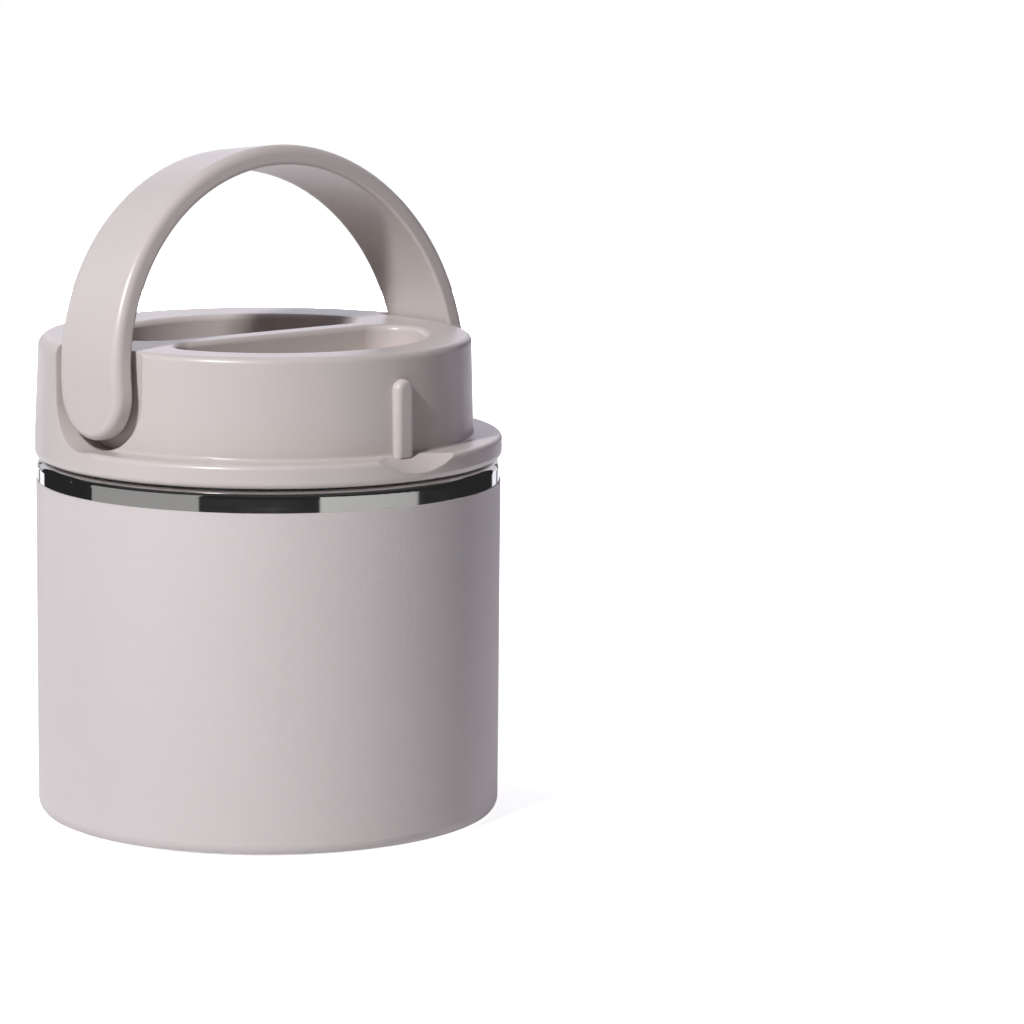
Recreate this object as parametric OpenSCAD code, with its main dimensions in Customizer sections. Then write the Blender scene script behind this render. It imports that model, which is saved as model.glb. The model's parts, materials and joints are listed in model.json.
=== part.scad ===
// Insulated food jar: a double-wall steel vacuum body and a foam-filled screw lid with a folding
// carry handle. Millimetres, +Z up, origin at the middle of the base.
// +X runs along the handle's pivot axis, and the handle folds forward, towards -Y.

/* [Body] */
// Outer diameter of the body, over the powder coat
body_d = 100; // [92:0.5:110]
// Height of the body's shoulder above the surface that it stands on
body_h = 77; // [60:0.5:120]
// Height of the bare polished band between the coat and the shoulder
band_h = 4.6; // [2:0.1:8]
// Radius of the bottom corner
foot_corner = 2.6; // [1.5:0.1:4]
// Radius of the shoulder's outer corner
shoulder_corner = 1.8; // [1:0.1:2.4]
// Thickness of the powder coat
coat_t = 0.2; // [0.1:0.05:0.4]
// Wall of the outer steel shell
shell_t = 0.6; // [0.4:0.05:0.9]
// Wall of the inner steel vessel
vessel_t = 0.5; // [0.4:0.05:0.8]
// Evacuated gap between the two steel walls
vacuum_gap = 3.6; // [2:0.1:4.5]
// Height of the inner vessel's floor, measured to its underside
vessel_floor = 8.2; // [7.4:0.1:12]

/* [Mouth and thread] */
// Wall of the liner's skirt round the neck, outside its thread: it sets how wide the mouth is
skirt_t = 2.2; // [1.8:0.1:8]
// Height of the neck above the shoulder, up to its end under the lip
neck_h = 7.2; // [6.6:0.1:7.4]
// Evacuated gap between the two walls of the neck
neck_gap = 0.5; // [0.3:0.05:0.7]
// Thickness of the rolled lip on top of the neck
lip_t = 0.6; // [0.4:0.05:0.8]
// Distance between neighbouring thread ridges
thread_pitch = 3.6; // [3.4:0.1:4.4]
// Height of a thread ridge
thread_h = 0.85; // [0.6:0.05:0.9]

/* [Lid] */
// Height of the lid's rim, from its lower edge to the ledge in front
flange_h = 4.95; // [4:0.05:6]
// Height of the lid, from its lower edge to its top
lid_h = 26.25; // [25.5:0.05:34]
// Wall of the lid's outer moulding
lid_wall = 2; // [1.6:0.1:2.2]
// Corner radius of the lid's top edge at the back
top_corner = 2.6; // [1.5:0.1:3.5]
// Corner radius of the lid's top edge in front
front_corner = 1.4; // [0.8:0.1:2]
// Width of the front rib that carries the folded handle
rib_w = 4.6; // [3:0.1:7]
// Radius of the thumb notch in the rim
notch_r = 27; // [20:0.5:40]
// Depth of the thumb notch at the rim's outer face
notch_depth = 3.1; // [2:0.1:3.4]

/* [Finger wells] */
// Diameter of the circle that bounds the two finger wells
wells_d = 67.5; // [56:0.5:70]
// Width of the grip bar between the finger wells
bar_w = 6.2; // [5:0.2:12]
// Depth of the finger wells
well_depth = 10.5; // [6:0.1:10.5]
// Corner radius of a finger well, seen from above
well_corner = 7.6; // [5:0.1:10]
// Radius of the rounded edge round a finger well's mouth
well_edge = 1.3; // [0.5:0.1:1.4]

/* [Handle] */
// Width of the handle's band
handle_w = 20.4; // [16:0.1:20.4]
// Thickness of the handle's band
handle_t = 4.4; // [3.5:0.1:4.6]
// How far the handle leans back from upright when it rests on its stop, in degrees
rest_lean = 7; // [4:0.5:9]
// Radius of the band's outer edges
band_corner = 2; // [0.8:0.1:2]
// Radius of the hinge spigots on the handle
spigot_r = 3.8; // [3:0.1:3.8]

/* [Fits] */
// Running clearance of a spigot in its hole, on the radius
spigot_fit = 0.08; // [0.05:0.01:0.1]
// Clearance between parts that move past each other
free_gap = 0.3; // [0.3:0.05:0.4]
// Gap between the closed lid's lower edge and the shoulder
lid_gap = 0.35; // [0.3:0.05:0.5]
// Gap on each face of the closed gasket
seal_gap = 0.05; // [0.03:0.01:0.1]

/* [Hidden] */
$fn = 96;
cut = 0.5;                                     // how far a cut runs past the face that it opens
seam = 0.02;                                   // a hair by which two blended faces cross

// Body
foot_w = 3.4;                                  // width of the ring that the jar stands on
shoulder_gap = 2.6;                            // evacuated gap between the two shoulders
vessel_bend = 6;                               // radius of the vessel's floor and shoulder corners
coat_r = body_d / 2;
shell_r = coat_r - coat_t;
coat_top = body_h - band_h;
coat_foot = foot_corner / 4;                   // the coat ends this far up the bottom corner
neck_top = body_h + neck_h;
lip_top = neck_top + lip_t;
vessel_r = shell_r - shell_t - vacuum_gap;
vessel_shoulder = body_h - shell_t - shoulder_gap;
foot_in = shell_r - foot_corner - foot_w;

// Base: a welded cap with a dimple that holds the sealing bead, hidden by a cover disc
cap_lift = 3;                                  // underside of the base cap's disc
cap_r = foot_in - 0.2;                         // the cap's skirt drops into the standing ring
cap_rim = 1.8;                                 // how far the cap's welded rim lies on the ring
dimple_r = 5;
dimple_h = 1.4;
bead_r = 4;
bead_gap = 0.03;
port_r = 1.2;                                  // hole through which the air was drawn out
cover_t = 0.4;
cover_gap = 0.15;

// Vacuum gap
foil_gap = 0.05;
foil_t = 0.15;
getter_x = vessel_r / 2 - 3;
getter_r = 5;
getter_h = 1.4;
getter_wall = 0.3;
getter_lip = 1.5;

// Lid
rim_over = 0.23;                               // how far the rim stands out past the coat
back_lean = 0.8;                               // how far the back wall leans in by its top
wall_draft = 1.4;                              // lean of the front wall, in degrees
flange_corner = 1.4;
ledge_corner = 1.1;
wall_root = 0.7;                               // concave corner at the foot of the front wall
flange_r = coat_r + rim_over;
lid_z = body_h + lid_gap;
ledge_z = lid_z + flange_h;
lid_top = lid_z + lid_h;
back_top_r = flange_r - back_lean;

// Handle: the arch ends flush with the rim when it is folded down
arch_up = 1.9;                                 // centre of the arch above the pivot
end_up = 1.5;                                  // centre of the rounded end above the pivot
inner_corner = 0.7;
face_relief = 0.4;                             // depth of the hollow across the inner face
relief_edge = 1.3;                             // width of the rim beside that hollow
boss_h = 1.7;
boss_edge = 3.2;                               // how far the boss stays inside the band's edge
pivot_z = (ledge_z + lid_top) / 2 + 0.25;
arch_r = flange_r - arch_up;
arch_ri = arch_r - handle_t;
boss_r = handle_w / 2 - boss_edge;
relief_half = handle_w / 2 - relief_edge;
relief_r = (relief_half * relief_half + face_relief * face_relief) / (2 * face_relief);

// The pockets for the handle's ends, and the space that the band needs behind it and as it folds
pocket_wall = 1.7;                             // wall between a pocket and the lid's hollow
pocket_sink = 0.15;                            // a pocket's lowest point below the ledge
stop_gap = 0.1;                                // more room behind the handle than beside it
sweep_more = 2.1;                              // more room in front of the handle's round end
sweep_sink = 0.25;
pocket_floor = arch_ri - boss_h - free_gap;    // distance of the pockets' floors from the axis
pocket_back = pocket_floor - pocket_wall;
pocket_r = handle_w / 2 + free_gap;
pocket_z = ledge_z + pocket_r - pocket_sink;   // centre of a pocket's round lower end

// The front wall clears the folded arch where the pockets end, and the arch is widest there
wall_r = sqrt(arch_ri * arch_ri + 2 * pocket_r * arch_up - arch_up * arch_up) - free_gap;
wall_top_r = wall_r - (lid_top - ledge_z) * tan(wall_draft);
rib_r = arch_up + arch_ri - free_gap;          // front face of the rib, just behind the folded arch
rib_down = 5.4;                                // top of the rib below the top of the lid
rib_edge = 1.2;
rib_top = lid_top - rib_down;
notch_lip = 0.4;                               // depth of the thumb notch where it meets the wall
notch_in = 0.8;                                // the notch's floor ends this far outside the wall

// Finger wells
well_root = 2.5;                               // concave corner round a well's floor
well_r = wells_d / 2;
well_floor = lid_top - well_depth;
bar_half = bar_w / 2;
corner_y = bar_half + well_corner;             // centre of a well's corner arcs
corner_x = sqrt(pow(well_r - well_corner, 2) - corner_y * corner_y);
corner_turn = atan2(corner_x, corner_y);       // the outer arc runs this far to each side of -Y

// Thread: two starts, so one turn of the lid lifts it by two pitches
thread_starts = 2;
thread_lead = thread_starts * thread_pitch;
thread_fit = 0.3;                              // radial clearance at crest and root
ridge_foot = 1.7;                              // width of a ridge at its root
ridge_top = 0.8;                               // width of a ridge at its crest
ridge_sink = 0.35;                             // how deep a ridge is rooted in its wall
ring_steps = 48;                               // facets of a thread ridge in one turn
neck_thread_z = body_h + 1.9;                  // middle of a neck ridge where it starts
neck_thread_rise = neck_h - 3.4;
liner_thread_z = neck_thread_z + thread_pitch / 2;
liner_thread_rise = neck_thread_rise - 0.6;

// Inside the lid
liner_gap = 0.25;                              // liner to lid shell and foam to its neighbours
liner_t = 1.5;
brim_t = 1.3;
brim_up = 1.65;                                // low enough to leave a floor under the notch
gasket_t = 1.7;
gasket_over = 1.2;                             // how far the gasket reaches in past the mouth
gasket_step = 0.5;                             // its outer edge is stepped up clear of the lip
keeper_t = 0.8;                                // ring that keeps the gasket in place
keeper_h = 1.2;
keeper_gap = 0.2;
liner_r = pocket_back - liner_gap;             // outer radius of the liner's skirt
root_r = liner_r - skirt_t;                    // bore of the skirt, at the root of its thread
neck_r = root_r - thread_h - thread_fit;
mouth_r = neck_r - shell_t - neck_gap - vessel_t;
liner_under = lip_top + gasket_t + 2 * seal_gap;
liner_top = liner_under + liner_t;
brim_top = lid_z + brim_up;
brim_r = flange_r - lid_wall;
gasket_in = mouth_r - gasket_over;
gasket_out = root_r - free_gap;

// Hinge parts
screw_head_r = 3;
screw_head_h = 1.6;
screw_r = 1.4;
screw_l = 5;
screw_gap = 0.15;                              // shank to washer, and tip to the end of its hole
thread_bite = 0.02;
washer_t = 0.8;
washer_gap = free_gap / 2;                     // washer to the wall that the spigot runs in
washer_r = pivot_z - liner_top - free_gap;
washer_x = pocket_back - washer_gap - washer_t;
ring_tube = 0.5;                               // cord radius of a hinge O-ring
ring_slack = 0.05;
ring_x = (pocket_floor + pocket_back) / 2;

// ---------------------------------------------------------------- shared shapes

// Half of a round block's section: radius r, from z0 to z1, with rounded lower and upper corners
module block_section(r, z0, z1, low, high) {
    translate([0, z0]) square([r - low, z1 - z0 - high]);
    translate([0, z0 + low]) square([r, z1 - z0 - low - high]);
    translate([0, z0 + low]) square([r - high, z1 - z0 - low]);
    if (low > 0) translate([r - low, z0 + low]) circle(low);
    if (high > 0) translate([r - high, z1 - high]) circle(high);
}

module tube(r_out, r_in, z0, z1) {
    rotate_extrude() translate([r_in, z0]) square([r_out - r_in, z1 - z0]);
}

// A rod along X from x0 to x1, through y = 0 at height z
module rod_x(r, x0, x1, z) {
    translate([x0, 0, z]) rotate([0, 90, 0]) cylinder(r = r, h = x1 - x0);
}

module both_sides() {
    children();
    mirror([1, 0, 0]) children();
}

// One turn's share of a thread ridge: side is 1 for a ridge that stands outwards, -1 for inwards
function ridge_ring(r, side, z, a) = [
    for (p = [[-ridge_sink, -ridge_foot / 2], [thread_h, -ridge_top / 2],
              [thread_h, ridge_top / 2], [-ridge_sink, ridge_foot / 2]])
        [(r + side * p[0]) * cos(a), (r + side * p[0]) * sin(a), z + p[1]]
];

module thread_ridge(r, side, z0, rise, start) {
    steps = round(ring_steps * rise / thread_lead);
    points = [for (i = [0:steps]) each ridge_ring(
        r, side, z0 + rise * i / steps, start + 360 * rise / thread_lead * i / steps)];
    last = 4 * steps;
    walls = [for (i = [0:steps - 1], k = [0:3])
        let (a = 4 * i + k, b = 4 * i + (k + 1) % 4)
        side > 0 ? [a, b, b + 4, a + 4] : [a, a + 4, b + 4, b]];
    ends = side > 0 ? [[3, 2, 1, 0], [last, last + 1, last + 2, last + 3]]
                    : [[0, 1, 2, 3], [last + 3, last + 2, last + 1, last]];
    polyhedron(points, concat(walls, ends), convexity = 4);
}

module thread(r, side, z0, rise, turn) {
    for (i = [0:thread_starts - 1])
        thread_ridge(r, side, z0, rise, turn + 360 * i / thread_starts);
}

// ---------------------------------------------------------------- steel body

// Section of the outer shell's outside, moved in by t
module shell_outline(t) {
    block_section(shell_r - t, t, body_h - t, foot_corner - t, shoulder_corner - t);
    translate([0, body_h - shoulder_corner]) square([neck_r - t, neck_h + shoulder_corner]);
}

module outer_shell() color([0.78, 0.79, 0.80]) {
    rotate_extrude() difference() {
        shell_outline(0);
        difference() {
            shell_outline(shell_t);
            translate([0, -cut]) square([foot_in, shell_t + cut]);
        }
        translate([-cut, -cut]) square([foot_in + cut, shell_t + 2 * cut]);
        translate([0, neck_top]) square([neck_r + cut, cut]);
        translate([0, neck_top - shell_t - cut]) square([neck_r - shell_t, shell_t + 2 * cut]);
    }
    thread(neck_r, 1, neck_thread_z, neck_thread_rise, 0);
}

module powder_coat() color([0.72, 0.69, 0.66])
    rotate_extrude() difference() {
        block_section(coat_r, -coat_t, coat_top + cut, foot_corner + coat_t, 0);
        block_section(shell_r, 0, body_h, foot_corner, 0);
        translate([0, coat_top]) square([coat_r + cut, band_h]);
        translate([0, -coat_t - cut]) square([coat_r, coat_foot + coat_t + cut]);
    }

// Section of the inner vessel's outside, moved in by t
module vessel_outline(t) {
    block_section(vessel_r - t, vessel_floor + t, vessel_shoulder - t, vessel_bend - t, vessel_bend - t);
    translate([0, vessel_shoulder - vessel_bend]) square([mouth_r + vessel_t - t, vessel_bend + neck_top
        - vessel_shoulder]);
}

module inner_vessel() color([0.80, 0.81, 0.82])
    rotate_extrude() {
        difference() {
            vessel_outline(0);
            vessel_outline(vessel_t);
            translate([0, neck_top - cut]) square([mouth_r, 2 * cut]);
        }
        difference() {
            block_section(neck_r, neck_top, lip_top, 0, lip_t / 2);
            translate([-cut, neck_top - cut]) square([mouth_r + cut, lip_t + 2 * cut]);
        }
    }

module heat_foil() color([0.80, 0.45, 0.30])
    tube(vessel_r + foil_gap + foil_t, vessel_r + foil_gap,
         vessel_floor + vessel_bend, vessel_shoulder - vessel_bend);

module getter_cup() color([0.66, 0.66, 0.68])
    translate([getter_x, 0, 0]) rotate_extrude() {
        translate([0, vessel_floor - getter_h - 2 * getter_wall])
            square([getter_r + getter_wall, getter_wall]);
        translate([getter_r, vessel_floor - getter_h - 2 * getter_wall])
            square([getter_wall, getter_h + 2 * getter_wall]);
        translate([getter_r, vessel_floor - getter_wall]) square([getter_wall + getter_lip, getter_wall]);
    }

module getter_pellet() color([0.30, 0.30, 0.32])
    translate([getter_x, 0, vessel_floor - getter_h - getter_wall])
        cylinder(r = getter_r - bead_gap, h = getter_h);

module base_cap() color([0.74, 0.75, 0.76])
    rotate_extrude() difference() {
        union() {
            translate([0, cap_lift]) square([cap_r, shell_t]);
            translate([cap_r - shell_t, shell_t]) square([shell_t, cap_lift]);
            translate([cap_r - shell_t, shell_t]) square([shell_t + foot_in - cap_r + cap_rim, shell_t]);
            translate([0, cap_lift]) square([dimple_r, shell_t + dimple_h]);
        }
        translate([-cut, cap_lift - cut]) square([bead_r + cut, dimple_h + cut]);
        translate([-cut, cap_lift]) square([port_r + cut, dimple_h + 2 * shell_t]);
    }

module vacuum_plug() color([0.35, 0.42, 0.38])
    translate([0, 0, cap_lift]) cylinder(r = bead_r - bead_gap, h = dimple_h - bead_gap);

module base_cover() color([0.76, 0.77, 0.78])
    translate([0, 0, cap_lift - cover_t]) cylinder(r = cap_r - shell_t - cover_gap, h = cover_t);

// ---------------------------------------------------------------- lid

// The corners of a finger well's outline, outside its corner arcs, seen from above and grown by g
module well_corners(g) {
    far = 2 * (well_r + g);
    top = cut + well_edge - bar_half + g;
    for (s = [-1, 1])
        polygon([[s * corner_x, -corner_y], [s * corner_x, top], [s * far, top],
                 [s * far * sin(corner_turn), -far * cos(corner_turn)]]);
}

// Outline of one finger well, seen from above, grown by g. It lies on the -Y side of the grip bar.
module well_outline(g) {
    r = well_r + g;
    difference() {
        circle(r);
        translate([-r - cut, g - bar_half]) square([2 * (r + cut), 2 * r]);
        difference() {
            well_corners(g);
            for (s = [-1, 1])
                translate([s * corner_x, -corner_y]) circle(well_corner + g + seam);
        }
    }
}

// Upright section of a finger well from x = 0 to its wall, with a round at the floor and a flare at
// the mouth. out and down move its wall and its floor by a hair, so that two sections cross where they
// blend.
module well_section(wall, out, down) {
    floor_z = well_floor - down;
    translate([0, floor_z]) square([wall + out - well_root, well_depth + cut]);
    translate([0, floor_z + well_root]) square([wall + out, well_depth - well_root + cut]);
    translate([wall + out - well_root, floor_z + well_root]) circle(well_root);
    translate([wall + out - seam / 4, lid_top - well_edge + seam / 4 + down]) difference() {
        translate([-cut, 0]) square([well_edge + cut, well_edge + cut]);
        translate([well_edge, 0]) circle(well_edge);
    }
}

module finger_well() {
    far = well_r + well_root;
    difference() {
        intersection() {
            rotate_extrude() well_section(well_r, 0, 0);
            translate([-far, -bar_half - 2 * well_r, 0]) rotate([90, 0, 90])
                linear_extrude(2 * far) well_section(2 * well_r, 0, seam / 4);
        }
        difference() {
            translate([0, 0, well_floor - cut]) linear_extrude(well_depth + 3 * cut) well_corners(0);
            for (s = [-1, 1]) translate([s * corner_x, -corner_y, 0]) rotate_extrude()
                well_section(well_corner, seam, seam / 2);
        }
    }
}

module both_wells() {
    children();
    mirror([0, 1, 0]) children();
}

module lid_blank()
    rotate_extrude() {
        translate([0, lid_z]) square([flange_r - flange_corner, flange_corner + cut]);
        translate([flange_r - flange_corner, lid_z + flange_corner]) circle(flange_corner);
        polygon([[0, lid_z + flange_corner], [flange_r, lid_z + flange_corner], [flange_r, ledge_z],
                 [back_top_r, lid_top - top_corner], [0, lid_top - top_corner]]);
        translate([0, lid_top - top_corner - cut]) square([back_top_r - top_corner, top_corner + cut]);
        translate([back_top_r - top_corner, lid_top - top_corner]) circle(top_corner);
    }

// Section of the space in front of the lid's front wall and above its ledge. The blends cross their
// neighbours by a hair, instead of touching them.
module fold_section() {
    far = flange_r + wall_root + ledge_corner;
    front_z = lid_top - front_corner + seam / 4;
    front_x = wall_top_r - front_corner;
    root_x = wall_r + wall_root - wall_root * tan(wall_draft) - seam / 4;
    ledge_x = flange_r - ledge_corner + seam / 4;
    difference() {
        polygon([[wall_r, ledge_z], [far, ledge_z], [far, lid_top + cut], [front_x, lid_top + cut],
                 [front_x, front_z], [wall_top_r - seam / 4, front_z]]);
        translate([front_x, front_z]) circle(front_corner);
        difference() {
            translate([wall_r - cut, ledge_z - cut])
                square([root_x - wall_r + cut, wall_root + cut - seam / 4]);
            translate([root_x, ledge_z + wall_root - seam / 4]) circle(wall_root);
        }
    }
    translate([ledge_x, ledge_z - ledge_corner]) difference() {
        square([far - ledge_x, ledge_corner + cut]);
        circle(ledge_corner);
    }
}

// Side view of the space that the handle needs, in Y and Z: the round ends, the lean and the fold.
// It runs a little below the ledge, so that the ledge's own face bounds the space there.
module fold_side_view() {
    far = 2 * flange_r;
    top_z = lid_top + 2 * cut;
    end_y = end_up * sin(rest_lean);
    end_z = pivot_z + end_up * cos(rest_lean);
    end_r = pocket_r + stop_gap;
    back_y = end_y + (end_r - 1.5 * seam) / cos(rest_lean);
    sweep_r = pocket_r + sweep_more;
    low_z = ledge_z - 2 * ledge_corner;
    low_y = -arch_up - pocket_r / 2;
    mid_y = cut - arch_up;
    translate([end_y, end_z]) circle(end_r);
    translate([-arch_up, ledge_z - sweep_sink + sweep_r]) circle(sweep_r);
    polygon([[-far, low_z], [low_y, low_z], [mid_y, ledge_z + cut], [mid_y, end_z], [back_y, end_z],
             [back_y + (top_z - end_z) * tan(rest_lean), top_z], [-far, top_z]]);
}

module fold_recess()
    intersection() {
        rotate_extrude() fold_section();
        rotate([90, 0, 90]) translate([0, 0, -2 * flange_r]) linear_extrude(4 * flange_r) fold_side_view();
    }

// A U-shaped pocket for the boss on each end of the handle
module boss_pocket() {
    rod_x(pocket_r, pocket_floor, flange_r + cut, pocket_z);
    translate([pocket_floor, -pocket_r, pocket_z])
        cube([flange_r, 2 * pocket_r, lid_top - pocket_z + cut]);
}

// A scoop in the front of the rim: part of a cylinder that rises from the rim's face to the ledge
module thumb_notch() {
    reach = flange_r - wall_r;
    slope = atan2(notch_depth - notch_lip, reach - notch_in);
    translate([0, -flange_r, ledge_z - notch_depth]) rotate([slope, 0, 0])
        translate([0, 0, notch_r]) rotate([90, 0, 0])
            translate([0, 0, -reach / cos(slope)]) cylinder(r = notch_r, h = 2 * reach);
}

// The notch is cut only outside the foot of the front wall, and only through the rim
module thumb_cut()
    intersection() {
        thumb_notch();
        difference() {
            tube(flange_r + cut, wall_r, ledge_z - notch_depth - cut, ledge_z + cut);
            translate([-2 * flange_r, 0, 0]) cube([4 * flange_r, 2 * flange_r, 2 * lid_top]);
        }
    }

module rib() {
    half = rib_w / 2;
    depth = rib_r - wall_top_r + cut;
    // Section in X and Y: from inside the wall out to the rib's face
    module section() {
        translate([-half, -rib_r + rib_edge]) square([rib_w, depth]);
        translate([-half + rib_edge, -rib_r]) square([rib_w - 2 * rib_edge, rib_edge + cut]);
        for (s = [-1, 1]) translate([s * (half - rib_edge), -rib_r + rib_edge]) circle(rib_edge);
    }
    translate([0, 0, ledge_z - cut]) linear_extrude(rib_top - half - ledge_z + cut) section();
    translate([0, 0, rib_top - half]) rotate([90, 0, 0]) rotate_extrude()
        intersection() {
            translate([0, 0]) square([half, rib_r + cut]);
            mirror([0, 1]) section();
        }
}

// The lid's hollow, with every wall moved in by g
module lid_hollow(g) {
    top = lid_top - lid_wall - g;
    far = 2 * flange_r;
    wall_y = pocket_r + (lid_top - pivot_z) * tan(rest_lean) + lid_wall + g;
    difference() {
        union() {
            translate([0, 0, lid_z - cut]) cylinder(r = brim_r - g, h = brim_top - g - lid_z + cut);
            translate([0, 0, lid_z - cut]) cylinder(r = wall_top_r - lid_wall - g, h = top - lid_z + cut);
            intersection() {
                translate([0, 0, lid_z - cut]) cylinder(r = back_top_r - lid_wall - g, h = top - lid_z + cut);
                translate([-far, wall_y, 0]) cube([2 * far, far, 2 * lid_top]);
            }
        }
        both_sides() translate([pocket_back - g, -wall_y, brim_top - g])
            cube([far, 2 * wall_y, lid_h]);
        both_wells() translate([0, 0, well_floor - lid_wall - g])
            linear_extrude(lid_h) well_outline(lid_wall + g);
    }
}

module lid_shell() color([0.76, 0.74, 0.72]) {
    difference() {
        lid_blank();
        fold_recess();
        both_sides() boss_pocket();
        thumb_cut();
        both_wells() finger_well();
        lid_hollow(0);
        both_sides() rod_x(spigot_r + spigot_fit, pocket_back - cut, pocket_floor + cut, pivot_z);
    }
    intersection() {
        rib();
        difference() {
            translate([0, 0, ledge_z - cut]) cylinder(r = flange_r, h = lid_h);
            cylinder(r = wall_top_r - cut, h = 2 * lid_top);
        }
    }
}

module lid_liner() color([0.88, 0.88, 0.87]) {
    rotate_extrude() {
        translate([root_r, brim_top - brim_t]) square([brim_r - root_r, brim_t]);
        translate([root_r, brim_top - brim_t]) square([liner_r - root_r, liner_top - brim_top + brim_t]);
        translate([0, liner_under]) square([liner_r, liner_top - liner_under]);
        translate([gasket_in - keeper_gap - keeper_t, liner_under - keeper_h])
            square([keeper_t, keeper_h + cut]);
    }
    thread(root_r, -1, liner_thread_z, liner_thread_rise, 0);
}

module lid_gasket() color([0.90, 0.90, 0.88])
    rotate_extrude() difference() {
        translate([gasket_in, lip_top + seal_gap])
            square([gasket_out - gasket_in, gasket_t]);
        translate([neck_r + thread_fit, lip_top]) square([gasket_out, gasket_step]);
    }

module lid_insulation() color([0.93, 0.91, 0.83])
    difference() {
        intersection() {
            lid_hollow(liner_gap);
            translate([0, 0, brim_top + liner_gap]) cylinder(r = flange_r, h = lid_h);
        }
        cylinder(r = liner_r + liner_gap, h = liner_top + liner_gap);
        both_sides() rod_x(washer_r + free_gap, washer_x - screw_head_h - 2 * free_gap,
                           pocket_back + cut, pivot_z);
    }

// ---------------------------------------------------------------- handle

// Section across the band: x outwards from the arch's centre, y across the band
module band_section() {
    half = handle_w / 2;
    difference() {
        union() {
            translate([arch_ri, -half + band_corner]) square([handle_t, handle_w - 2 * band_corner]);
            translate([arch_ri + inner_corner, -half])
                square([handle_t - inner_corner - band_corner, handle_w]);
            for (s = [-1, 1]) {
                translate([arch_r - band_corner, s * (half - band_corner)]) circle(band_corner);
                translate([arch_ri + inner_corner, s * (half - inner_corner)]) circle(inner_corner);
            }
            translate([arch_ri, -half + inner_corner])
                square([handle_t - band_corner, handle_w - 2 * inner_corner]);
        }
        intersection() {
            translate([arch_ri - cut, -half]) square([2 * cut, handle_w]);
            translate([arch_ri + face_relief - relief_r, 0]) circle(relief_r);
        }
    }
}

module end_section()
    intersection() {
        translate([0, arch_ri]) square([handle_w / 2 + cut, handle_t + cut]);
        union() {
            rotate(90) mirror([0, 1]) band_section();
            translate([0, arch_ri]) square([handle_w / 2 - relief_edge + cut, face_relief + cut]);
        }
    }

module oring_groove()
    translate([ring_x, 0, 0]) rotate([0, 90, 0]) rotate_extrude()
        translate([spigot_r - 2 * ring_tube + ring_slack, -ring_tube - ring_slack])
            square([2 * ring_tube, 2 * (ring_tube + ring_slack)]);

module handle_upright()
    difference() {
        union() {
            rotate([90, 0, 0]) translate([0, arch_up, 0]) rotate_extrude(angle = 180) band_section();
            both_sides() {
                translate([0, 0, end_up]) linear_extrude(arch_up - end_up) band_section();
                translate([0, 0, end_up]) rotate([90, 180, 90]) rotate_extrude(angle = 180) end_section();
                rod_x(boss_r, arch_ri - boss_h, arch_ri + face_relief + cut, 0);
                rod_x(spigot_r, pocket_back - washer_gap, arch_ri + cut, 0);
            }
        }
        both_sides() {
            rod_x(screw_r, pocket_back - washer_gap - cut, pocket_back + screw_l, 0);
            oring_groove();
        }
    }

// Moves a piece from the upright handle's frame, with its origin on the hinge axis, to its rest
module at_rest()
    translate([0, 0, pivot_z]) rotate([-rest_lean, 0, 0]) children();

module handle() color([0.76, 0.74, 0.72]) at_rest() handle_upright();

module pivot_orings() color([0.12, 0.12, 0.12])
    at_rest() both_sides() translate([ring_x, 0, 0]) rotate([0, 90, 0]) rotate_extrude()
        translate([spigot_r - ring_tube + spigot_fit - seam, 0]) circle(ring_tube);

module pivot_washers() color([0.70, 0.71, 0.72])
    at_rest() both_sides() difference() {
        rod_x(washer_r, washer_x, washer_x + washer_t, 0);
        rod_x(screw_r + screw_gap, washer_x - cut, washer_x + washer_t + cut, 0);
    }

module pivot_screws() color([0.62, 0.63, 0.64])
    at_rest() both_sides() {
        rod_x(screw_head_r, washer_x - screw_head_h, washer_x, 0);
        rod_x(screw_r - thread_bite, washer_x - cut, pocket_back + screw_l - screw_gap, 0);
    }

outer_shell();
powder_coat();
inner_vessel();
heat_foil();
getter_cup();
getter_pellet();
base_cap();
vacuum_plug();
base_cover();
lid_gasket();
lid_shell();
lid_liner();
lid_insulation();
handle();
pivot_orings();
pivot_washers();
pivot_screws();
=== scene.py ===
import json
import math

import bpy
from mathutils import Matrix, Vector

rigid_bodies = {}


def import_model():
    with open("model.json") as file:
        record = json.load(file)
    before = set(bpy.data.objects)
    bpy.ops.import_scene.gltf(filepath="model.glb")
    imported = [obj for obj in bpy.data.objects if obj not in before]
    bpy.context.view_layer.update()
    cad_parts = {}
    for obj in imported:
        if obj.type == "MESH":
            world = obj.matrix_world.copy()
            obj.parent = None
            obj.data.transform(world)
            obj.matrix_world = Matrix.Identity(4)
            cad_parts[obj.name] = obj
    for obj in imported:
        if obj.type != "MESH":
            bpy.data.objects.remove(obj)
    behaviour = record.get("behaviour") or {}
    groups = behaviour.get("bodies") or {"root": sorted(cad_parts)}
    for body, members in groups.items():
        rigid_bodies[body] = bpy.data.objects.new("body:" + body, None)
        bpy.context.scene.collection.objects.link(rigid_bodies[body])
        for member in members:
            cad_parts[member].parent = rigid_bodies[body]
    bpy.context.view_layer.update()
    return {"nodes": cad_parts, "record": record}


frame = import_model()
nodes = frame["nodes"]

# Lengths are in metres, the lens in millimetres and angles in degrees.
# The camera stands where the photograph was taken from, 39 degrees round from the lid's front
VIEW_AZ = -38.8
CAMERA_AT = (-0.572037, -0.711471, 0.215684)
CAMERA_TURN = (80.61553, -0.57125, -42.00459)
CAMERA_LENS = 150.1845
CAMERA_CLIP = (0.05, 20)

COAT = (0.632, 0.580, 0.560)
PLASTIC = (0.60, 0.541, 0.507)
# nearly all values of a noise texture lie between these two
NOISE_RANGE = (0.3, 0.7)
BEVEL_SAMPLES = 6


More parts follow.
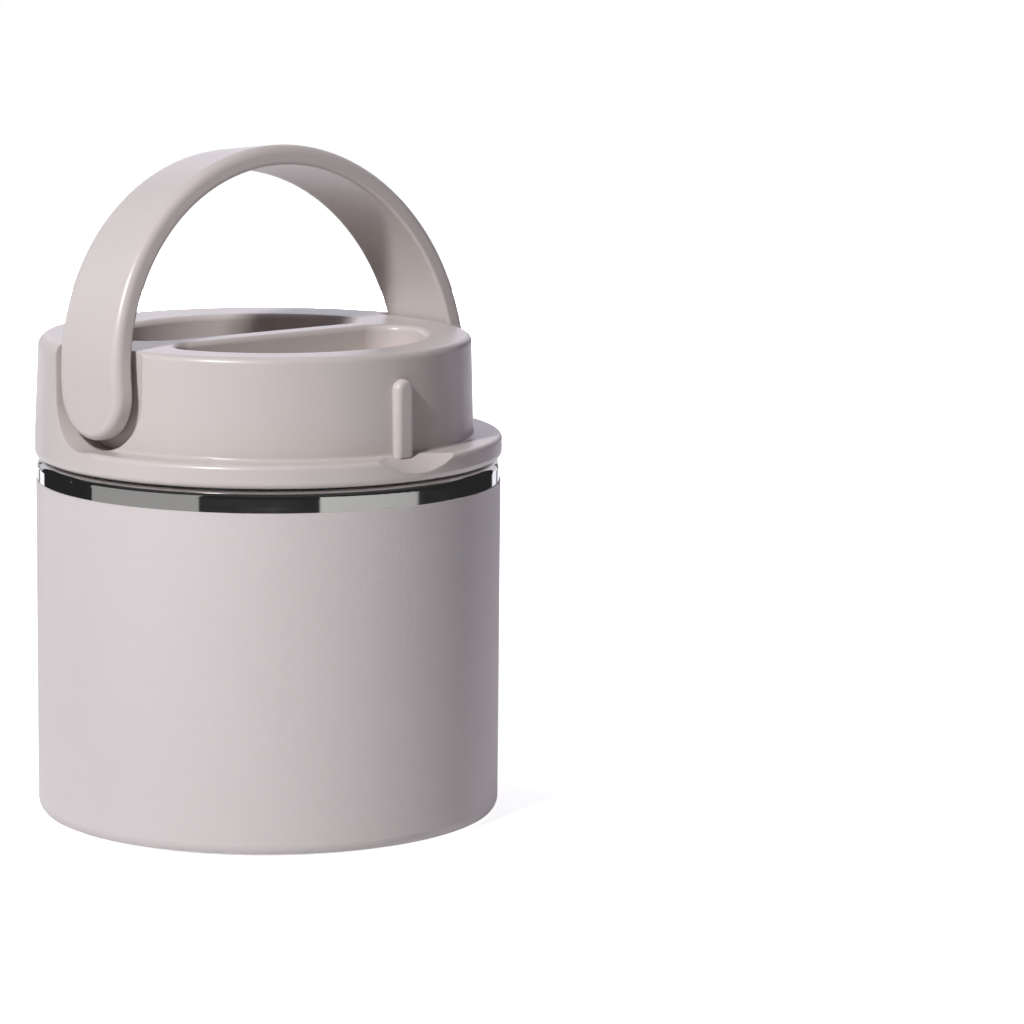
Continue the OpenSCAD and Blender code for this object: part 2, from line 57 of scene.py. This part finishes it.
# ---------------------------------------------------------------- material helpers
class Nodes:
    """One material's node tree, with short calls to add and join nodes."""

    def __init__(self, name):
        self.material = bpy.data.materials.new(name)
        self.material.use_nodes = True
        self.tree = self.material.node_tree
        self.shader = self.tree.nodes["Principled BSDF"]
        self.where = self.add("ShaderNodeTexCoord").outputs["Object"]

    def add(self, kind, **values):
        node = self.tree.nodes.new(kind)
        for key, value in values.items():
            setattr(node, key, value)
        return node

    def link(self, a, b):
        self.tree.links.new(a, b)

    def stretched(self, scale):
        """Object coordinates with a scale of their own on each axis."""
        mapping = self.add("ShaderNodeMapping")
        mapping.inputs["Scale"].default_value = scale
        self.link(self.where, mapping.inputs["Vector"])
        return mapping.outputs["Vector"]

    def noise(self, scale, detail=3.0, rough=0.5, where=None):
        node = self.add("ShaderNodeTexNoise")
        node.inputs["Scale"].default_value = scale
        node.inputs["Detail"].default_value = detail
        node.inputs["Roughness"].default_value = rough
        self.link(where or self.where, node.inputs["Vector"])
        return node.outputs["Fac"]

    def cells(self, scale, feature="F1"):
        node = self.add("ShaderNodeTexVoronoi", feature=feature)
        node.inputs["Scale"].default_value = scale
        self.link(self.where, node.inputs["Vector"])
        return node.outputs["Distance"]

    def between(self, value, low, high, start=0.0, end=1.0):
        """A value from low to high, mapped to run from start to end."""
        node = self.add("ShaderNodeMapRange")
        set_range(node, low, high, start, end)
        self.link(value, node.inputs["Value"])
        return node.outputs["Result"]

    def spread(self, noise, start=0.0, end=1.0):
        """A noise's usual range, mapped to run from start to end."""
        return self.between(noise, *NOISE_RANGE, start, end)

    def colours(self, value, low, high):
        """A colour that runs from low to high as the value runs from 0 to 1."""
        node = self.add("ShaderNodeMix", data_type="RGBA")
        node.inputs["A"].default_value = (*low, 1)
        node.inputs["B"].default_value = (*high, 1)
        self.link(value, node.inputs["Factor"])
        return node.outputs["Result"]

    def bump(self, height, distance, strength=1.0, over=None):
        """A bump map's normal, on top of another normal if one is given."""
        node = self.add("ShaderNodeBump")
        node.inputs["Distance"].default_value = distance
        node.inputs["Strength"].default_value = strength
        self.link(height, node.inputs["Height"])
        if over:
            self.link(over, node.inputs["Normal"])
        return node.outputs["Normal"]

    def soft_edges(self, radius):
        node = self.add("ShaderNodeBevel", samples=BEVEL_SAMPLES)
        node.inputs["Radius"].default_value = radius
        return node.outputs["Normal"]

    def set(self, **values):
        """Links or sets sockets of the shader, named with _ for a space, and gives the material."""
        for key, value in values.items():
            socket = self.shader.inputs[key.replace("_", " ")]
            if hasattr(value, "links"):
                self.link(value, socket)
            else:
                socket.default_value = value
        return self.material


def set_range(node, low, high, start, end):
    """Sets a Map Range node."""
    for key, x in zip(("From Min", "From Max", "To Min", "To Max"), (low, high, start, end)):
        node.inputs[key].default_value = x


def shade(colour, factor):
    return tuple(c * factor for c in colour)


# ---------------------------------------------------------------- materials
def powder_coat():
    """Fine grain over a slight orange peel."""
    n = Nodes("powder_coat")
    grain = n.noise(2600, detail=2, rough=0.6)
    peel = n.bump(n.noise(700, detail=1), distance=0.0002, strength=0.25)
    drift = n.between(n.noise(14), low=0.35, high=0.65)
    return n.set(
        Base_Color=n.colours(drift, shade(COAT, 0.985), shade(COAT, 1.01)),
        Roughness=n.spread(grain, 0.5, 0.62),
        Normal=n.bump(grain, distance=0.00012, strength=0.55, over=peel),
    )


def satin_plastic():
    """Smooth moulded plastic. Its roughness stays over 0.27, as lower values render with grain."""
    n = Nodes("satin_plastic")
    flow = n.noise(60)
    sheen = n.noise(80, detail=2)
    skin = n.noise(1500, detail=1)
    return n.set(
        Base_Color=n.colours(flow, shade(PLASTIC, 0.975), shade(PLASTIC, 1.025)),
        Roughness=n.between(sheen, low=0.0, high=1.0, start=0.28, end=0.36),
        Normal=n.bump(skin, distance=0.00001, strength=0.1, over=n.soft_edges(0.0005)),
        Subsurface_Weight=0.06,
        Subsurface_Radius=(0.0012, 0.0009, 0.0008),
    )


def polished_steel():
    """Mirror finish with faint turning lines round the axis and a few smudges."""
    n = Nodes("polished_steel")
    lines = n.noise(1.0, rough=0.6, where=n.stretched((30, 30, 9000)))
    smudge = n.noise(45, rough=0.55)
    return n.set(
        Base_Color=(0.86, 0.85, 0.83, 1),
        Metallic=1.0,
        Roughness=n.between(smudge, low=0.35, high=0.7, start=0.045, end=0.085),
        Normal=n.bump(lines, distance=0.00002, strength=0.12),
    )


def inner_steel():
    """Satin finish with plain turning lines."""
    n = Nodes("inner_steel")
    lines = n.noise(1.0, detail=4, rough=0.65, where=n.stretched((60, 60, 5200)))
    tone = n.spread(n.noise(35))
    return n.set(
        Base_Color=n.colours(tone, (0.60, 0.59, 0.57), (0.68, 0.67, 0.65)),
        Metallic=1.0,
        Roughness=n.spread(lines, 0.24, 0.36),
        Normal=n.bump(lines, distance=0.00004, strength=0.3),
    )


def heat_foil():
    """Copper foil with creases."""
    n = Nodes("heat_foil")
    crease = n.between(n.cells(160, "DISTANCE_TO_EDGE"), low=0.0, high=0.25)
    tone = n.spread(n.noise(50))
    return n.set(
        Base_Color=n.colours(tone, (0.80, 0.42, 0.26), (0.90, 0.52, 0.34)),
        Metallic=1.0,
        Roughness=n.spread(n.noise(300), 0.16, 0.3),
        Normal=n.bump(crease, distance=0.0003, strength=0.5),
    )


def getter():
    """Dark pressed metal grains."""
    n = Nodes("getter")
    grains = n.cells(5200)
    tone = n.between(grains, low=0.1, high=0.8)
    return n.set(
        Base_Color=n.colours(tone, (0.07, 0.07, 0.075), (0.16, 0.155, 0.15)),
        Metallic=0.6,
        Roughness=n.spread(n.noise(900), 0.55, 0.8),
        Normal=n.bump(grains, distance=0.0002, strength=0.6),
    )


def sealing_glass():
    """A dark green bead of melted glass."""
    n = Nodes("sealing_glass")
    tone = n.spread(n.noise(400))
    return n.set(
        Base_Color=n.colours(tone, (0.035, 0.055, 0.045), (0.07, 0.10, 0.085)),
        Roughness=n.spread(n.noise(900), 0.08, 0.2),
        Normal=n.bump(n.noise(500, detail=1), distance=0.0001, strength=0.3),
        Coat_Weight=0.6,
    )


def liner_plastic():
    """Off-white food-safe plastic."""
    n = Nodes("liner_plastic")
    fine = n.noise(2800, detail=2, rough=0.6)
    tone = n.spread(n.noise(70))
    return n.set(
        Base_Color=n.colours(tone, (0.78, 0.765, 0.735), (0.83, 0.815, 0.785)),
        Roughness=n.spread(fine, 0.36, 0.48),
        Normal=n.bump(fine, distance=0.00005, strength=0.35),
        Subsurface_Weight=0.2,
        Subsurface_Radius=(0.002, 0.0018, 0.0014),
    )


def foam():
    """Yellowish foam with open cells."""
    n = Nodes("foam")
    cells = n.cells(1500)
    tone = n.between(cells, low=0.1, high=0.8)
    return n.set(
        Base_Color=n.colours(tone, (0.74, 0.69, 0.54), (0.88, 0.84, 0.70)),
        Roughness=n.spread(n.noise(800), 0.8, 0.95),
        Normal=n.bump(cells, distance=0.0005, strength=0.7),
    )


def seal_rubber():
    """Milky silicone."""
    n = Nodes("seal_rubber")
    fine = n.noise(1800, detail=2)
    tone = n.spread(n.noise(90))
    return n.set(
        Base_Color=n.colours(tone, (0.70, 0.69, 0.665), (0.76, 0.75, 0.725)),
        Roughness=n.spread(fine, 0.42, 0.55),
        Normal=n.bump(fine, distance=0.00006, strength=0.4),
        Subsurface_Weight=0.35,
        Subsurface_Radius=(0.002, 0.002, 0.0018),
    )


def oring_rubber():
    """Black rubber."""
    n = Nodes("oring_rubber")
    fine = n.noise(3000, detail=2, rough=0.6)
    return n.set(
        Base_Color=n.colours(n.spread(fine), (0.012, 0.012, 0.012), (0.022, 0.022, 0.023)),
        Roughness=n.spread(fine, 0.4, 0.55),
        Normal=n.bump(fine, distance=0.00005, strength=0.5),
    )


def screw_steel():
    """Tumbled steel of the screws and washers."""
    n = Nodes("screw_steel")
    grain = n.noise(2400, rough=0.6)
    tone = n.spread(n.noise(250))
    return n.set(
        Base_Color=n.colours(tone, (0.52, 0.52, 0.53), (0.64, 0.635, 0.62)),
        Metallic=1.0,
        Roughness=n.spread(grain, 0.22, 0.4),
        Normal=n.bump(grain, distance=0.00003, strength=0.4),
    )


MAKE = {
    "powder_coat": powder_coat, "lid_plastic": satin_plastic, "polished_steel": polished_steel,
    "inner_steel": inner_steel, "heat_foil": heat_foil, "getter": getter,
    "sealing_glass": sealing_glass, "liner_plastic": liner_plastic, "foam": foam,
    "seal_rubber": seal_rubber, "oring_rubber": oring_rubber, "screw_steel": screw_steel,
}
# each CAD node keeps its mesh and gets the material of its slot
made = {slot: make() for slot, make in MAKE.items()}
for part in frame["record"]["subparts"]:
    piece = nodes[part["node"]]
    piece.data.materials.clear()
    piece.data.materials.append(made[part["material_slot"]])


# ---------------------------------------------------------------- studio
# the camera sees a white room, which gives the object no light of its own: the lamps do that
WORLD_SHOWN = 1.0
WORLD_LIGHT = 0.0
WORLD_TINT = (0.94, 0.93, 1.0)
# gloss sees a bright room behind the jar and a dim one on the camera's side: the cosines, from the
# camera's side, between which it fades, and the strengths at these two
GLOSS_FADE = (-0.75, -0.2)
GLOSS_STRENGTH = (0.66, 0.05)

FLOOR_SIZE = 2.4
FLOOR_COLOUR = (0.8, 0.8, 0.8)
# a glow that only the camera sees lifts the floor to white. Near the jar it is this weak, so that
# the shadow shows, and it is full from the second of these distances from the jar's axis on
FLOOR_SHOWN = 0.80
FLOOR_FADE = (0.09, 0.30)
# the floor's glow in reflections
FLOOR_GLOSS = 0.50

# the height of the point on the jar's axis that the lamps aim at
AIM_HEIGHT = 0.06
# name, azimuth, distance, height, width, tallness, power, colour, seen in gloss
LAMPS = [
    ("key", -32.5, 0.867, 0.767, 0.1, 0.1, 11.45, (0.96, 0.96, 1.00), True),
    ("left_high", -98, 0.843, 0.797, 0.34, 0.34, 0.40, (0.40, 0.52, 1.00), True),
    ("left_back", -135, 1.0, 0.25, 0.3, 0.4, 2.75, (0.90, 0.91, 1.00), True),
    ("right_low", 130, 1.0, 0.15, 0.3, 0.3, 1.35, (0.84, 0.78, 1.00), True),
    ("right_high", 120, 1.0, 0.50, 0.4, 0.4, 0.45, (0.90, 0.74, 1.00), True),
    ("back", 175, 1.1, 0.40, 0.8, 0.5, 0.85, (0.86, 0.84, 1.00), True),
    ("top", 0, 0.01, 1.3, 1.0, 1.0, 1.75, (0.94, 0.90, 1.00), True),
    ("back_fill", 180, 1.0, 0.06, 0.6, 0.12, 6.0, (0.97, 0.96, 1.00), False),
]
# a card has about one face for this many degrees
CARD_STEP = 3
# name, azimuth from and to, brightness from and to, top's height from and to, distance
CARDS = [
    ("card_dark", (-141.8, 140.9), (0.021, 0.021), (0.30, 0.30), 0.40),
    ("card_key", (-91.4, -32.1), (0.31, 0.33), (0.15, 0.26), 0.36),
    ("card_right", (23.1, 73.5), (0.52, 0.40), (0.18, 0.07), 0.36),
    ("card_edge_left", (-156, -152), (0.12, 0.12), (0.14, 0.14), 0.40),
    ("card_edge_right", (150, 154), (0.12, 0.12), (0.14, 0.14), 0.40),
]


def around(azimuth, distance, height):
    """A point round the jar's axis. Azimuth 0 is the camera's side, and positive is to its right."""
    turn = math.radians(VIEW_AZ + azimuth - 90)
    return Vector((distance * math.cos(turn), distance * math.sin(turn), height))


def run(ends, share):
    """The value at this share of the way between two ends."""
    return ends[0] + (ends[1] - ends[0]) * share


def in_scene(name, data):
    thing = bpy.data.objects.new(name, data)
    bpy.context.scene.collection.objects.link(thing)
    return thing


def emptied(owner):
    """The node tree of a material or world, with nothing in it."""
    owner.use_nodes = True
    owner.node_tree.nodes.clear()
    return owner.node_tree


def glow(tree, kind, strength, colour=(1, 1, 1)):
    """An emission or background node's output. The strength is a number or another node's output."""
    node = tree.nodes.new(kind)
    node.inputs["Color"].default_value = (*colour, 1)
    if hasattr(strength, "links"):
        tree.links.new(strength, node.inputs["Strength"])
    else:
        node.inputs["Strength"].default_value = strength
    return node.outputs[0]


def by_ray(tree, camera, glossy, other):
    """Joins three shaders: for the camera, for gloss and glass, and for the light on the object."""
    path = tree.nodes.new("ShaderNodeLightPath")
    sharp = tree.nodes.new("ShaderNodeMath")
    sharp.operation = "MAXIMUM"
    tree.links.new(path.outputs["Is Glossy Ray"], sharp.inputs[0])
    tree.links.new(path.outputs["Is Transmission Ray"], sharp.inputs[1])
    inner = tree.nodes.new("ShaderNodeMixShader")
    tree.links.new(sharp.outputs[0], inner.inputs["Fac"])
    tree.links.new(other, inner.inputs[1])
    tree.links.new(glossy, inner.inputs[2])
    outer = tree.nodes.new("ShaderNodeMixShader")
    tree.links.new(path.outputs["Is Camera Ray"], outer.inputs["Fac"])
    tree.links.new(inner.outputs[0], outer.inputs[1])
    tree.links.new(camera, outer.inputs[2])
    return outer.outputs[0]


def fade(tree, value, ends, strengths):
    """A Map Range node's output. Outside its ends it keeps the first or the last strength."""
    node = tree.nodes.new("ShaderNodeMapRange")
    set_range(node, *ends, *strengths)
    tree.links.new(value, node.inputs["Value"])
    return node


def world():
    studio = bpy.data.worlds.new("studio")
    bpy.context.scene.world = studio
    tree = emptied(studio)
    out = tree.nodes.new("ShaderNodeOutputWorld")
    way = tree.nodes.new("ShaderNodeTexCoord")
    front = tree.nodes.new("ShaderNodeVectorMath")
    front.operation = "DOT_PRODUCT"
    front.inputs[1].default_value = around(0, 1, 0)
    tree.links.new(way.outputs["Generated"], front.inputs[0])
    room = fade(tree, front.outputs["Value"], GLOSS_FADE, GLOSS_STRENGTH)
    room.interpolation_type = "SMOOTHSTEP"
    kind = "ShaderNodeBackground"
    surface = by_ray(
        tree,
        camera=glow(tree, kind, WORLD_SHOWN),
        glossy=glow(tree, kind, room.outputs["Result"], WORLD_TINT),
        other=glow(tree, kind, WORLD_LIGHT, WORLD_TINT),
    )
    tree.links.new(surface, out.inputs["Surface"])


def floor():
    """A pale floor that takes the jar's shadow and turns to pure white away from it."""
    mesh = bpy.data.meshes.new("floor")
    half = FLOOR_SIZE / 2
    corners = [(-half, -half, 0), (half, -half, 0), (half, half, 0), (-half, half, 0)]
    mesh.from_pydata(corners, [], [(0, 1, 2, 3)])
    plane = in_scene("floor", mesh)
    material = bpy.data.materials.new("floor")
    tree = emptied(material)
    out = tree.nodes.new("ShaderNodeOutputMaterial")
    diffuse = tree.nodes.new("ShaderNodeBsdfDiffuse")
    diffuse.inputs["Color"].default_value = (*FLOOR_COLOUR, 1)
    place = tree.nodes.new("ShaderNodeTexCoord")
    away = tree.nodes.new("ShaderNodeVectorMath")
    away.operation = "LENGTH"
    tree.links.new(place.outputs["Object"], away.inputs[0])
    lift = fade(tree, away.outputs["Value"], FLOOR_FADE, (FLOOR_SHOWN, 1.0))
    kind = "ShaderNodeEmission"
    own = by_ray(
        tree,
        camera=glow(tree, kind, lift.outputs["Result"]),
        glossy=glow(tree, kind, FLOOR_GLOSS, WORLD_TINT),
        other=glow(tree, kind, 0.0),
    )
    both = tree.nodes.new("ShaderNodeAddShader")
    tree.links.new(diffuse.outputs[0], both.inputs[0])
    tree.links.new(own, both.inputs[1])
    tree.links.new(both.outputs[0], out.inputs["Surface"])
    mesh.materials.append(material)


def card_light():
    """A card's glow, as strong as the mesh attribute level says."""
    material = bpy.data.materials.new("card")
    tree = emptied(material)
    out = tree.nodes.new("ShaderNodeOutputMaterial")
    level = tree.nodes.new("ShaderNodeAttribute")
    level.attribute_name = "level"
    shine = glow(tree, "ShaderNodeEmission", level.outputs["Fac"])
    tree.links.new(shine, out.inputs["Surface"])
    return material


def card(name, azimuths, bright, tops, distance):
    """A curved card from the floor up, which only reflections see."""
    mesh = bpy.data.meshes.new(name)
    steps = max(2, int(abs(azimuths[1] - azimuths[0]) / CARD_STEP))
    points, levels = [], []
    for i in range(steps + 1):
        azimuth = run(azimuths, i / steps)
        points += [around(azimuth, distance, 0), around(azimuth, distance, run(tops, i / steps))]
        levels += [run(bright, i / steps)] * 2
    faces = [(2 * i, 2 * i + 2, 2 * i + 3, 2 * i + 1) for i in range(steps)]
    mesh.from_pydata(points, [], faces)
    mesh.attributes.new("level", "FLOAT", "POINT").data.foreach_set("value", levels)
    mesh.materials.append(card_light())
    thing = in_scene(name, mesh)
    thing.visible_camera = False
    thing.visible_diffuse = False
    thing.visible_shadow = False
    thing.visible_transmission = False


def lamp(name, azimuth, distance, height, wide, tall, power, colour, in_gloss, lit):
    """A soft lamp that lights only the objects in the collection lit."""
    light = bpy.data.lights.new(name, "AREA")
    light.shape = "RECTANGLE"
    light.size = wide
    light.size_y = tall
    light.energy = power
    light.color = colour
    thing = in_scene(name, light)
    thing.location = around(azimuth, distance, height)
    aim = Vector((0, 0, AIM_HEIGHT)) - thing.location
    thing.rotation_euler = aim.to_track_quat("-Z", "Y").to_euler()
    thing.visible_camera = False
    thing.visible_glossy = in_gloss
    thing.light_linking.receiver_collection = lit


def all_but_the_shell():
    """A collection of every mesh so far but the polished shell, which mirrors no lamp."""
    lit = bpy.data.collections.new("lit")
    for thing in bpy.data.objects:
        if thing.type == "MESH" and thing != nodes["outer_shell"]:
            lit.objects.link(thing)
    return lit


def add_camera():
    camera = bpy.data.cameras.new("camera")
    camera.lens = CAMERA_LENS
    camera.clip_start, camera.clip_end = CAMERA_CLIP
    view = in_scene("camera", camera)
    view.location = CAMERA_AT
    view.rotation_euler = [math.radians(a) for a in CAMERA_TURN]
    bpy.context.scene.camera = view


world()
floor()
receivers = all_but_the_shell()
for row in LAMPS:
    lamp(*row, receivers)
for row in CARDS:
    card(*row)
add_camera()
bpy.context.scene.view_settings.view_transform = "Standard"
